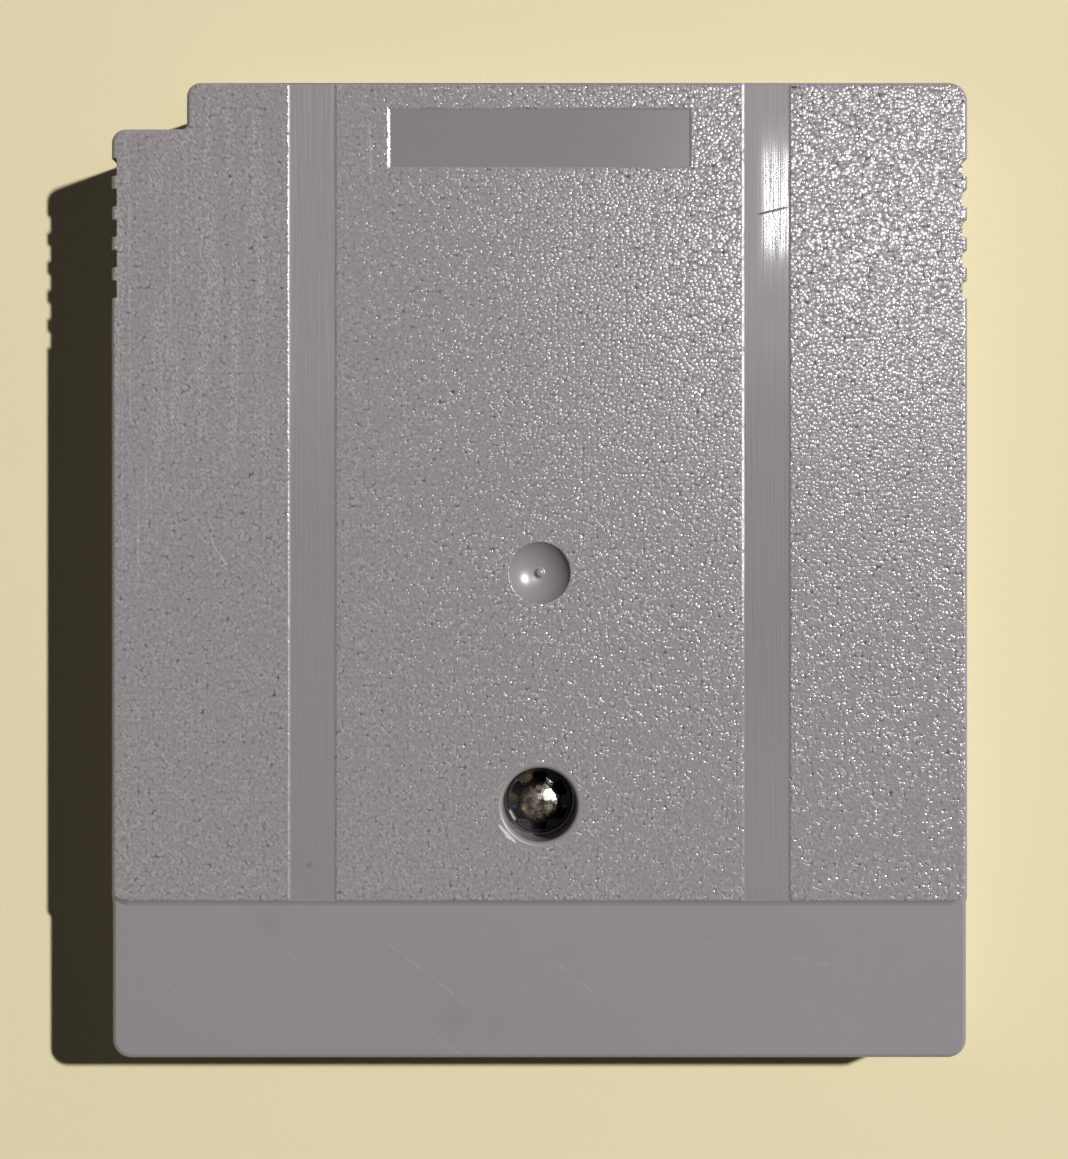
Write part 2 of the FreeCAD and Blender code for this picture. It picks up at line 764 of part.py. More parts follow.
# Small parts in two rows under the save memory: a kind, its count, its row and its height
small_first_x = left_x + small_part_length / 2
resistor_y = small_row_y - small_part_width - row_gap
for kind, count, y, height in (("capacitor", capacitor_count, small_row_y, capacitor_height),
                               ("resistor", resistor_count, resistor_y, resistor_height)):
    for index in range(count):
        middle, ends = small_part(small_first_x + index * small_part_pitch, y, height)
        nodes["chip_%s_%d" % (kind, index + 1)] = middle
        nodes["chip_%s_%d_ends" % (kind, index + 1)] = ends

os.makedirs("parts", exist_ok=True)
for name, shape in nodes.items():
    shape.exportStep("parts/%s.step" % name)
print("case %.2f x %.2f x %.2f mm, %d nodes" % (case_width, case_height, case_thickness, len(nodes)))
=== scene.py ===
import bpy
import math
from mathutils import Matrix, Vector


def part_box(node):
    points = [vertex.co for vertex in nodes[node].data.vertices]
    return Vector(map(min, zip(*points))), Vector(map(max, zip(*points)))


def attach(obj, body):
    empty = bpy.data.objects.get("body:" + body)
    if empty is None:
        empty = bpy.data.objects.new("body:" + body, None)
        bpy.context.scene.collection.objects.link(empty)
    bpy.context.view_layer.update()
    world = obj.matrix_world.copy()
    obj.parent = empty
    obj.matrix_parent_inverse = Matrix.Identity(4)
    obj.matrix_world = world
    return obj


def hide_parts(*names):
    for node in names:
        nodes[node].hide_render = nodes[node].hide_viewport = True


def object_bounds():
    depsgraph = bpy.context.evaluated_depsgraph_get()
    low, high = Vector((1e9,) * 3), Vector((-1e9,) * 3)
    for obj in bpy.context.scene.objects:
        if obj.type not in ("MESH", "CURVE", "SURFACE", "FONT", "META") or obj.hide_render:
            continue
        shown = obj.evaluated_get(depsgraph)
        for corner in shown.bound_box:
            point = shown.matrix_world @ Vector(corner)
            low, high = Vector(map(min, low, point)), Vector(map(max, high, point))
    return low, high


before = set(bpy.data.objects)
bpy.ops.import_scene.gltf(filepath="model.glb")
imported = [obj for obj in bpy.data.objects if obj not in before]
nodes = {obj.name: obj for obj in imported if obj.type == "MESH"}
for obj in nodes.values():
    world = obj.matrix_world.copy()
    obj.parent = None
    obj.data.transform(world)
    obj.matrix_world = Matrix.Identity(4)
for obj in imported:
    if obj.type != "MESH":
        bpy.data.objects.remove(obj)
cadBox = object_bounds()
mm = 0.001  # frame and scene are in metres, sizes below in millimetres
caseLow = [value / mm for value in cadBox[0]]
caseHigh = [value / mm for value in cadBox[1]]
screwLow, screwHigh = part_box("case_screw")
screwCentre = [(low + high) / 2 / mm for low, high in zip(screwLow, screwHigh)]
print("frame:", len(nodes), "nodes, case", [round(b - a, 2) for a, b in zip(caseLow, caseHigh)], "mm")


# small helpers for shader trees

def addNode(tree, kind, **settings):
    node = tree.nodes.new("ShaderNode" + kind)
    for name, value in settings.items():
        setattr(node, name, value)
    return node


def feed(tree, value, socket):
    # another node's socket is linked, a plain value is set
    if isinstance(value, bpy.types.NodeSocket):
        tree.links.new(value, socket)
    else:
        socket.default_value = value


def calc(tree, operation, first, second=0.0, clamp=False):
    node = addNode(tree, "Math", operation=operation, use_clamp=clamp)
    feed(tree, first, node.inputs[0])
    feed(tree, second, node.inputs[1])
    return node.outputs[0]


def apart(tree, first, second):
    return calc(tree, "ABSOLUTE", calc(tree, "SUBTRACT", first, second))


def product(tree, *masks):
    found = masks[0]
    for mask in masks[1:]:
        found = calc(tree, "MULTIPLY", found, mask)
    return found


def highest(tree, *masks):
    found = masks[0]
    for mask in masks[1:]:
        found = calc(tree, "MAXIMUM", found, mask)
    return found


def vectorCalc(tree, operation, first, second=None, scale=None):
    node = addNode(tree, "VectorMath", operation=operation)
    feed(tree, first, node.inputs[0])
    if second is not None:
        feed(tree, second, node.inputs[1])
    if scale is not None:
        feed(tree, scale, node.inputs["Scale"])
    return node.outputs["Value"] if operation in ("DOT_PRODUCT", "LENGTH", "DISTANCE") else node.outputs[0]


def flatten(tree, point):
    # the point as seen from above
    return vectorCalc(tree, "MULTIPLY", point, (1.0, 1.0, 0.0))


def step(tree, value, low, high, lowOut=0.0, highOut=1.0):
    # smooth change from lowOut to highOut as value goes from low to high
    node = addNode(tree, "MapRange", interpolation_type="SMOOTHSTEP")
    given = {"Value": value, "From Min": low, "From Max": high, "To Min": lowOut, "To Max": highOut}
    for name, item in given.items():
        feed(tree, item, node.inputs[name])
    return node.outputs["Result"]


def blendColour(tree, share, first, second, blend="MIX"):
    node = addNode(tree, "Mix", data_type="RGBA", blend_type=blend)
    feed(tree, share, node.inputs[0])
    for item, socket in ((first, node.inputs[6]), (second, node.inputs[7])):
        feed(tree, item if isinstance(item, bpy.types.NodeSocket) else (*item, 1.0), socket)
    return node.outputs[2]


def blendValue(tree, share, first, second):
    node = addNode(tree, "Mix", data_type="FLOAT")
    feed(tree, share, node.inputs[0])
    feed(tree, first, node.inputs[2])
    feed(tree, second, node.inputs[3])
    return node.outputs[0]


def noise(tree, point, scale, detail=2.0, roughness=0.5):
    node = addNode(tree, "TexNoise")
    feed(tree, point, node.inputs["Vector"])
    node.inputs["Scale"].default_value = scale
    node.inputs["Detail"].default_value = detail
    node.inputs["Roughness"].default_value = roughness
    return node.outputs["Fac"]


def stretched(tree, point, scale, turn=0.0):
    # the point turned about Z, then scaled by axis, for streaks along the turned X axis
    node = addNode(tree, "Mapping", vector_type="TEXTURE")
    feed(tree, point, node.inputs["Vector"])
    node.inputs["Rotation"].default_value = (0.0, 0.0, turn)
    node.inputs["Scale"].default_value = [1 / value for value in scale]
    return node.outputs[0]


def newGroup(name, inputs, outputs):
    group = bpy.data.node_groups.new(name, "ShaderNodeTree")
    for label, kind in inputs:
        group.interface.new_socket(label, in_out="INPUT", socket_type="NodeSocket" + kind)
    for label, kind in outputs:
        group.interface.new_socket(label, in_out="OUTPUT", socket_type="NodeSocket" + kind)
    return group, group.nodes.new("NodeGroupInput").outputs, group.nodes.new("NodeGroupOutput").inputs


def useGroup(tree, group, **values):
    node = addNode(tree, "Group")
    node.node_tree = group
    for name, value in values.items():
        feed(tree, value, node.inputs[name])
    return node.outputs


def newMaterial(name):
    material = bpy.data.materials.new(name)
    material.use_nodes = True
    tree = material.node_tree
    shader = tree.nodes["Principled BSDF"]
    place = addNode(tree, "TexCoord").outputs["Object"]
    point = vectorCalc(tree, "SCALE", place, scale=1 / mm)  # millimetres
    return material, tree, shader, point


def bump(tree, height, depth, shader):
    # depth is in millimetres for a height from 0 to 1
    node = addNode(tree, "Bump")
    node.inputs["Distance"].default_value = depth * mm
    feed(tree, height, node.inputs["Height"])
    feed(tree, node.outputs["Normal"], shader.inputs["Normal"])


# effects that several materials share

def makeMouldGrain():
    # spark-eroded mould grain on a face that looks up or down: round domes of uneven height
    group, given, result = newGroup(
        "mouldGrain",
        [("Point", "Vector"), ("Cells", "Float")],
        [("Height", "Float")])
    domes = addNode(group, "TexVoronoi", voronoi_dimensions="2D", feature="F1")
    feed(group, given["Point"], domes.inputs["Vector"])
    feed(group, given["Cells"], domes.inputs["Scale"])
    away = domes.outputs["Distance"]
    dome = calc(group, "SUBTRACT", 0.32, calc(group, "MULTIPLY", away, away))
    patch = noise(group, given["Point"], 2.6, 0.0)
    low = step(group, patch, 0.30, 0.54, 0.62, 1.0)
    tall = step(group, patch, 0.50, 0.70, 0.0, 1.6)
    feed(group, calc(group, "MULTIPLY", dome, calc(group, "ADD", low, tall)), result["Height"])
    return group


def makeScratch():
    # one straight scratch from a start to an end point, fading at both
    group, given, result = newGroup(
        "scratch",
        [("Point", "Vector"), ("Start", "Vector"), ("End", "Vector"), ("Width", "Float")],
        [("Mask", "Float")])
    fromStart = vectorCalc(group, "SUBTRACT", flatten(group, given["Point"]), given["Start"])
    run = vectorCalc(group, "SUBTRACT", given["End"], given["Start"])
    along = calc(group, "DIVIDE", vectorCalc(group, "DOT_PRODUCT", fromStart, run),
                 vectorCalc(group, "DOT_PRODUCT", run, run), clamp=True)
    away = vectorCalc(group, "SUBTRACT", fromStart, vectorCalc(group, "SCALE", run, scale=along))
    line = step(group, vectorCalc(group, "LENGTH", away), given["Width"], 0.0)
    ends = calc(group, "MULTIPLY", step(group, along, 0.0, 0.15), step(group, along, 1.0, 0.8))
    feed(group, calc(group, "MULTIPLY", line, ends), result["Mask"])
    return group


def makeHairlines():
    # fine handling lines in one direction, strongest in patches
    group, given, result = newGroup(
        "hairlines",
        [("Lines", "Vector"), ("Point", "Vector")],
        [("Mask", "Float")])
    line = step(group, noise(group, given["Lines"], 1.0, 3.0, 0.6), 0.63, 0.74)
    patch = step(group, noise(group, given["Point"], 0.16, 2.0), 0.42, 0.66)
    feed(group, calc(group, "MULTIPLY", line, patch), result["Mask"])
    return group


def makeStain():
    # soft spot, ragged where the given noise is uneven
    group, given, result = newGroup(
        "stain",
        [("Point", "Vector"), ("Centre", "Vector"), ("Reach", "Float"), ("Ragged", "Float")],
        [("Mask", "Float")])
    away = vectorCalc(group, "DISTANCE", flatten(group, given["Point"]), given["Centre"])
    uneven = calc(group, "ADD", given["Ragged"], 0.5)
    feed(group, step(group, calc(group, "MULTIPLY", away, uneven), given["Reach"], 0.0), result["Mask"])
    return group


def makeTone():
    # slow drift of shade over a surface, about 1 in the middle
    group, given, result = newGroup(
        "toneDrift",
        [("Point", "Vector"), ("Spread", "Float")],
        [("Shade", "Float")])
    broad = calc(group, "MULTIPLY", noise(group, given["Point"], 0.07, 2.0), 0.7)
    fine = calc(group, "MULTIPLY", noise(group, given["Point"], 0.9, 2.0), 0.3)
    swing = calc(group, "SUBTRACT", calc(group, "ADD", broad, fine), 0.5)
    feed(group, calc(group, "ADD", calc(group, "MULTIPLY", swing, given["Spread"]), 1.0), result["Shade"])
    return group


mouldGrain = makeMouldGrain()
scratch = makeScratch()
hairlines = makeHairlines()
stain = makeStain()
toneDrift = makeTone()
print("effects: grain, scratch, hairlines, stain, tone")


# shells

shell = {
    "plastic": (0.253, 0.230, 0.231),
    "plasticCool": (0.250, 0.226, 0.240),  # the shade drifts between the two
    # light colour of wear, also of the painted highlights along two walls
    "rubbed": (0.620, 0.600, 0.600),
    "brown": (0.150, 0.098, 0.062),
    "dark": (0.060, 0.050, 0.046),
    "bend": 1.62,  # refraction
    "grainCells": 4.2,  # domes a millimetre
    "grainDepth": 0.0210,
    "grainMiddle": 0.06,  # height of the grain that keeps the plain shade
    "grainShade": 0.42,  # painted shade: how much darker the hollows of the grain are, and lighter its tops
    "wornGrain": 0.42,  # share of its depth that is left at the left side
    "deepGrain": (1.32, 0.3),  # the gain below the middle, and its loss again at the foot
    "speckle": 0.85,
    "grainRoughness": 0.19,
    "smoothRoughness": 0.25,
    "unevenRoughness": 0.10,
    "grooveRoughness": 0.55,
    "nameRoughness": 0.14,
    "dimpleRoughness": 0.31,
    "wallRoughness": 0.2,  # more on the walls of the left groove and the name place
    "handledRoughness": 0.2,  # more on scratches and scuffs
    "cutRoughness": 0.8,
    "leftGrooveShade": (0.20, 0.14),  # painted shade: how much darker the left groove is, at the middle and at the top
    "rightGrooveShade": (0.40, 0.20, 0.13),  # painted shade of the right groove, the same, and its loss towards the foot
    # painted shade of the name place and the dimple
    "nameShade": 0.15,
    "dimpleShade": 0.10,
    "paintedStepLight": 0.24,  # painted light: the foot of the step to the band is painted lighter
    "rubbedRoughness": 0.145,  # of the patch in the right groove that is rubbed shiny
    "rubbedPlace": (24.6, 2.2, 6.5),  # its middle, and how far up and down it is full and ends
    "rubbedLines": 0.52,
    "wallLift": 4.4,  # the right groove's left wall is less steep, and so catches the light
    "wallStart": 1.625,  # from the groove's middle
    "wallRun": 0.165,
    "edgeRound": 0.07,
    "edgeSteps": 7,
    "sharpAngle": 32.0,
    "smoothAngle": 16.0,  # faces that turn by less are shaded as one
    "bandHeight": 10.6,
    "bandDrop": 0.3,
    "grooveSpacing": 30.2,
    "grooveHalf": 1.5,
    "nameReach": 11.25,
    "floorDepth": 0.06,  # of the grooves and the name place below the panel
    "rimReach": 2.80,  # smooth rounding round the screw well
    "dimpleRise": 32.35,
    "dimpleReach": 2.0,
}


def pickOnly(piece):
    bpy.ops.object.select_all(action="DESELECT")
    piece.select_set(True)
    bpy.context.view_layer.objects.active = piece


def copyNode(nodeName, pieceName):
    # own copy of a CAD node's mesh: loose triangles merged, flat ones joined into whole faces
    piece = bpy.data.objects.new(pieceName, nodes[nodeName].data.copy())
    bpy.context.scene.collection.objects.link(piece)
    piece.data.materials.clear()
    pickOnly(piece)
    bpy.ops.object.mode_set(mode="EDIT")
    bpy.ops.mesh.select_all(action="SELECT")
    bpy.ops.mesh.remove_doubles(threshold=0.001 * mm)
    bpy.ops.mesh.dissolve_limited(angle_limit=math.radians(0.4))
    bpy.ops.object.mode_set(mode="OBJECT")
    return piece


def sharpEdges(mesh, angle, leaveOut):
    # edges whose two faces turn by more than the angle, outside the boxes to leave out
    facesOf = {}
    for face in mesh.polygons:
        for key in face.edge_keys:
            facesOf.setdefault(key, []).append(face.normal)
    turned = []
    for edge in mesh.edges:
        normals = facesOf.get(tuple(sorted(edge.vertices)), [])
        if len(normals) != 2 or normals[0].angle(normals[1], 0.0) < math.radians(angle):
            continue
        middle = (mesh.vertices[edge.vertices[0]].co + mesh.vertices[edge.vertices[1]].co) / 2 / mm
        if not any(all(low < value < high for value, (low, high) in zip(middle, box)) for box in leaveOut):
            turned.append(edge.index)
    return turned


def setNormals(mesh, angle):
    # each corner takes the faces round it that turn by less than the angle, large ones most
    nearest = math.cos(math.radians(angle))
    around = [[] for vertex in mesh.vertices]
    for face in mesh.polygons:
        for index in face.vertices:
            around[index].append((face.normal.copy(), face.area))
    normals = []
    for face in mesh.polygons:
        for index in face.vertices:
            total = Vector()
            for normal, area in around[index]:
                if normal.dot(face.normal) > nearest:
                    total += normal * area
            normals.append(total.normalized())
    mesh.normals_split_custom_set(normals)


def roundEdges(piece, width, segments, angle, smooth, leaveOut=()):
    pickOnly(piece)
    weights = piece.data.attributes.new("bevel_weight_edge", "FLOAT", "EDGE")
    for index in sharpEdges(piece.data, angle, leaveOut):
        weights.data[index].value = 1.0
    edgeRound = piece.modifiers.new("edgeRound", "BEVEL")
    edgeRound.width = width * mm
    edgeRound.segments = segments
    edgeRound.limit_method = "WEIGHT"
    edgeRound.use_clamp_overlap = False
    edgeRound.miter_outer = "MITER_ARC"
    bpy.ops.object.modifier_apply(modifier=edgeRound.name)
    bpy.ops.object.shade_smooth()
    setNormals(piece.data, smooth)


def dress(piece, nodeName, material):
    piece.data.materials.append(material)
    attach(piece, "root")
    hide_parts(nodeName)
    print("piece:", piece.name, len(piece.data.polygons), "faces")


def drawnLines(tree, point, lines):
    drawn = []
    for start, end, width, strength in lines:
        line = useGroup(tree, scratch, Point=point, Start=(*start, 0.0), End=(*end, 0.0), Width=width)
        drawn.append(product(tree, line["Mask"], strength))
    return highest(tree, *drawn)


def drawnSpots(tree, point, spots, ragged):
    drawn = []
    for centre, reach, strength in spots:
        spot = useGroup(tree, stain, Point=point, Centre=(*centre, 0.0), Reach=reach, Ragged=ragged)
        drawn.append(product(tree, spot["Mask"], strength))
    return highest(tree, *drawn)


def shellPlaces(tree, point, x, y, z):
    # masks of the places on a shell, and the height that eases one groove wall
    top = caseHigh[2]
    floor = top - shell["floorDepth"]
    bandTop = caseLow[1] + shell["bandHeight"]
    bandFace = top - shell["bandDrop"]
    seen = flatten(tree, point)
    fromScrew = vectorCalc(tree, "DISTANCE", seen, (screwCentre[0], screwCentre[1], 0.0))
    fromDimple = vectorCalc(tree, "DISTANCE", seen, (0.0, caseLow[1] + shell["dimpleRise"], 0.0))
    grooveMiddle = calc(tree, "MULTIPLY", calc(tree, "SIGN", x), shell["grooveSpacing"] / 2)
    fromGroove = calc(tree, "SUBTRACT", x, grooveMiddle)
    rightSide = step(tree, x, 0.0, 1.0)
    raised = step(tree, z, floor + 0.003, floor + 0.02)
    panel = product(tree, raised, step(tree, fromScrew, shell["rimReach"] - 0.1, shell["rimReach"] + 0.1))
    onFloor = product(tree, step(tree, apart(tree, z, floor), 0.03, 0.01),
                      step(tree, y, bandTop - 0.1, bandTop + 0.1))
    middle, full, end = shell["rubbedPlace"]
    onWall = calc(tree, "MAXIMUM", calc(tree, "ADD", fromGroove, shell["wallStart"]), 0.0)
    return {
        "textured": calc(tree, "MAXIMUM", panel, step(tree, z, 0.08, 0.02)),
        "groove": product(tree, onFloor, step(tree, calc(tree, "ABSOLUTE", fromGroove),
                                              shell["grooveHalf"] + 0.1, shell["grooveHalf"])),
        "namePlace": product(tree, onFloor, step(tree, calc(tree, "ABSOLUTE", x),
                                                 shell["nameReach"] + 0.25, shell["nameReach"] - 0.25)),
        "dimple": product(tree, step(tree, z, top - 0.05, top - 0.15),
                          step(tree, fromDimple, shell["dimpleReach"] + 0.05, shell["dimpleReach"] - 0.05)),
        "wall": product(tree, raised, step(tree, z, top - 0.003, top - 0.02), step(tree, x, 8.0, 4.0)),
        "stepFoot": product(tree, step(tree, z, bandFace + 0.005, bandFace + 0.03),
                            step(tree, z, bandFace + 0.22, bandFace + 0.12),
                            step(tree, apart(tree, y, bandTop), 0.8, 0.6)),
        "rubbed": product(tree, step(tree, apart(tree, y, middle), end, full),
                          step(tree, fromGroove, -0.95, 0.05), rightSide),
        "lift": product(tree, calc(tree, "MINIMUM", onWall, shell["wallRun"]), shell["wallLift"], rightSide,
                        step(tree, fromGroove, 1.4, -1.4), step(tree, y, bandTop + 0.1, bandTop + 1.0)),
    }


def makeShellPlastic(name, wearAndHighlightMarks, cuts, stains):
    material, tree, shader, point = newMaterial(name)
    axes = addNode(tree, "SeparateXYZ")
    feed(tree, point, axes.inputs[0])
    x, y, z = axes.outputs
    places = shellPlaces(tree, point, x, y, z)
    textured, groove = places["textured"], places["groove"]
    grain = useGroup(tree, mouldGrain, Point=point, Cells=shell["grainCells"])["Height"]
    satin = noise(tree, stretched(tree, point, (3.5, 8.0, 5.0), -1.05), 1.0, 2.0, 0.6)
    rubLines = noise(tree, stretched(tree, point, (11.0, 0.15, 0.05)), 1.0, 1.0, 0.6)
    ragged = noise(tree, point, 1.2, 2.0)

    # wear
    lines = product(tree, drawnLines(tree, point, wearAndHighlightMarks), step(tree, ragged, 0.32, 0.55))
    turned = stretched(tree, point, (0.12, 5.0, 1.0), -0.66)
    fine = useGroup(tree, hairlines, Lines=turned, Point=point)["Mask"]
    streaks = product(tree, groove, step(tree, rubLines, 0.48, 0.72), step(tree, y, 4.0, 16.0))
    scuffLines = noise(tree, stretched(tree, point, (1.5, 0.07, 0.05)), 1.0, 2.0, 0.6)
    scuffs = product(tree, step(tree, scuffLines, 0.50, 0.66), step(tree, satin, 0.45, 0.62), textured,
                     step(tree, x, -15.0, -19.0), step(tree, y, 0.0, 12.0))
    # wear, and the painted highlight lines along two walls
    wearAndPaintedHighlights = highest(tree, lines, product(tree, fine, 0.3), product(tree, streaks, 0.5), scuffs)
    cut = drawnLines(tree, point, cuts)

    # colour
    leftShade = step(tree, y, 2.0, 16.0, *shell["leftGrooveShade"])
    rightShade = calc(tree, "SUBTRACT", step(tree, y, 10.0, 18.0, *shell["rightGrooveShade"][:2]),
                      step(tree, y, -2.0, -20.0, 0.0, shell["rightGrooveShade"][2]))
    grooveShade = blendValue(tree, step(tree, x, -5.0, 5.0), leftShade, rightShade)
    # painted shade in the grooves, the name place and the dimple
    paintedRecessShade = highest(tree, product(tree, groove, grooveShade),
                     product(tree, places["namePlace"], shell["nameShade"]),
                     product(tree, places["dimple"], shell["dimpleShade"]))
    # painted shade in the grain's hollows and painted light on its tops, with a fine random speckle
    paintedGrainShadeAndSpeckle = calc(tree, "ADD",
                   product(tree, calc(tree, "SUBTRACT", grain, shell["grainMiddle"]), shell["grainShade"]),
                   product(tree, calc(tree, "SUBTRACT", satin, 0.5), shell["speckle"]))
    # the last factor is painted light at the foot of the step to the band
    shade = product(tree, useGroup(tree, toneDrift, Point=point, Spread=0.10)["Shade"],
                    calc(tree, "SUBTRACT", 1.0, paintedRecessShade),
                    calc(tree, "ADD", 1.0, product(tree, paintedGrainShadeAndSpeckle, textured)),
                    calc(tree, "ADD", 1.0, product(tree, places["stepFoot"], shell["paintedStepLight"])))
    drift = step(tree, noise(tree, point, 0.09, 2.0), 0.4, 0.6)
    colour = blendColour(tree, drift, shell["plastic"], shell["plasticCool"])
    colour = blendColour(tree, 1.0, colour, shade, "MULTIPLY")
    colour = blendColour(tree, product(tree, wearAndPaintedHighlights, 0.2), colour, shell["rubbed"])
    colour = blendColour(tree, drawnSpots(tree, point, stains, ragged), colour, shell["brown"])
    colour = blendColour(tree, cut, colour, shell["dark"])
    feed(tree, colour, shader.inputs["Base Color"])

    # gloss
    rough = blendValue(tree, textured, shell["smoothRoughness"], shell["grainRoughness"])
    uneven = product(tree, calc(tree, "SUBTRACT", ragged, 0.5), shell["unevenRoughness"])
    polished = blendValue(tree, places["rubbed"], shell["grooveRoughness"], shell["rubbedRoughness"])
    rough = blendValue(tree, groove, calc(tree, "ADD", rough, uneven), polished)
    rough = blendValue(tree, places["namePlace"], rough, shell["nameRoughness"])
    rough = blendValue(tree, places["dimple"], rough, shell["dimpleRoughness"])
    rough = calc(tree, "ADD", rough, product(tree, places["wall"], shell["wallRoughness"]))
    scratched = product(tree, calc(tree, "MINIMUM", wearAndPaintedHighlights, 1.0), shell["handledRoughness"])
    dulled = calc(tree, "ADD", scratched, product(tree, cut, shell["cutRoughness"]))
    feed(tree, calc(tree, "ADD", rough, dulled), shader.inputs["Roughness"])
    shader.inputs["IOR"].default_value = shell["bend"]

    # relief
    gain, loss = shell["deepGrain"]
    footward = calc(tree, "SUBTRACT", step(tree, y, 10.0, -8.0, 1.0, gain),
                    step(tree, y, -9.0, -19.0, 0.0, loss))
    worn = product(tree, step(tree, x, -20.0, 8.0, shell["wornGrain"], 1.0), footward)
    height = calc(tree, "ADD", product(tree, grain, textured, worn),
                  product(tree, rubLines, groove, shell["rubbedLines"]))
    bump(tree, calc(tree, "ADD", height, places["lift"]), shell["grainDepth"], shader)
    return material


# lighter marks of wear, two of them painted highlights along walls, and darker cuts: start, end, half width
# and strength
# stains: centre, reach and strength
rearWearAndHighlightMarks = [
    ((-10.8, -24.3), (-4.1, -29.5), 0.11, 0.45),
    ((1.1, -26.1), (3.9, -28.4), 0.10, 0.4),
    ((-16.9, -25.4), (-15.9, -26.1), 0.09, 0.35),
    ((-25.1, -27.3), (-24.1, -28.2), 0.09, 0.35),
    ((10.7, -24.5), (11.6, -25.3), 0.09, 0.4),
    ((12.6, -30.4), (13.5, -31.1), 0.09, 0.3),
    ((16.7, -25.7), (21.1, -26.7), 0.16, 0.3),
    # painted highlight along the name place's left wall
    ((-11.27, 30.2), (-11.2, 26.0), 0.12, 0.9),
    # painted highlight along the right groove's left wall
    ((13.54, 42.0), (13.54, -6.0), 0.15, 7.0),
    ((-24.6, 29.0), (-24.4, 5.0), 0.10, 0.7),
    ((-27.3, 28.0), (-27.2, 8.0), 0.10, 0.7),
    ((-27.75, 20.0), (-27.7, -4.0), 0.08, 0.6),
    ((-26.69, 5.6), (-26.65, -1.4), 0.07, 1.2),
    ((-26.16, 8.0), (-26.15, 3.9), 0.07, 0.8),
    ((-2.73, -16.84), (-1.88, -17.93), 0.12, 9.0),
    ((-2.41, -17.20), (-1.51, -18.17), 0.10, 8.0),
    ((-21.95, 2.75), (-21.55, 1.4), 0.08, 1.6),
    ((-21.62, 1.6), (-20.7, 0.2), 0.08, 1.6),
]
rearCuts = [((14.4, 23.65), (16.6, 24.2), 0.11, 0.85)]
rearStains = [
    ((-17.9, -23.4), 1.6, 0.10),
    ((-5.6, -30.0), 1.8, 0.10),
    ((-2.9, -30.4), 1.4, 0.08),
    ((-15.3, -19.6), 0.35, 0.75),
    ((15.3, 17.6), 2.6, 0.10),
]
frontMarks = [
    ((-12.0, -2.0), (-3.0, -9.0), 0.10, 0.5),
    ((6.0, 9.0), (11.0, 4.5), 0.09, 0.4),
]
frontCuts = [((-20.0, -14.0), (-18.6, -15.2), 0.08, 0.3)]
frontStains = [((9.0, -27.0), 2.0, 0.08)]

# thin faces where the panel's lower corners run out into the sides keep their edges
panelEnds = [((-29.0, -27.6), (-23.0, -19.5), (4.0, 9.0)), ((27.6, 29.0), (-23.0, -19.5), (4.0, 9.0))]

for nodeName, pieceName, wearAndHighlightMarks, cuts, stains in (
        ("rear_shell", "rearShell", rearWearAndHighlightMarks, rearCuts, rearStains),
        ("front_shell", "frontShell", frontMarks, frontCuts, frontStains)):
    piece = copyNode(nodeName, pieceName)
    roundEdges(piece, shell["edgeRound"], shell["edgeSteps"], shell["sharpAngle"], shell["smoothAngle"],
               panelEnds)
    dress(piece, nodeName, makeShellPlastic(pieceName + "Plastic", wearAndHighlightMarks, cuts, stains))


# screw

screw = {
    "black": (0.012, 0.012, 0.014),
    "dulled": (0.062, 0.060, 0.060),  # painted light and shade: the head's left side lighter, its right side black as in the well's shadow
    "paintedHighlightColour": (0.80, 0.79, 0.77),
    "worn": (0.25, 0.225, 0.185),
    "gold": (0.19, 0.125, 0.055),
    "wornRadius": 1.32,
    "domeDepth": 0.75,
    "goldSpots": [  # centre from the axis, reach and strength
        ((-0.75, 1.5), 0.6, 0.6),
        ((-1.75, 0.3), 0.5, 0.6),
        ((-0.9, -0.35), 0.5, 0.6),
    ],
    "paintedHighlightMarks": [  # painted highlights on the flange and the dome
        ((-2.05, -0.62), (-1.62, -1.42), 0.13, 1.0),
        ((0.35, 0.85), (1.25, 0.05), 0.42, 0.9),
        ((0.35, 1.45), (0.95, 1.0), 0.22, 0.8),
    ],
    "edgeRound": 0.09,
    "edgeSteps": 7,
    "sharpAngle": 30.0,
    "smoothAngle": 16.0,
}


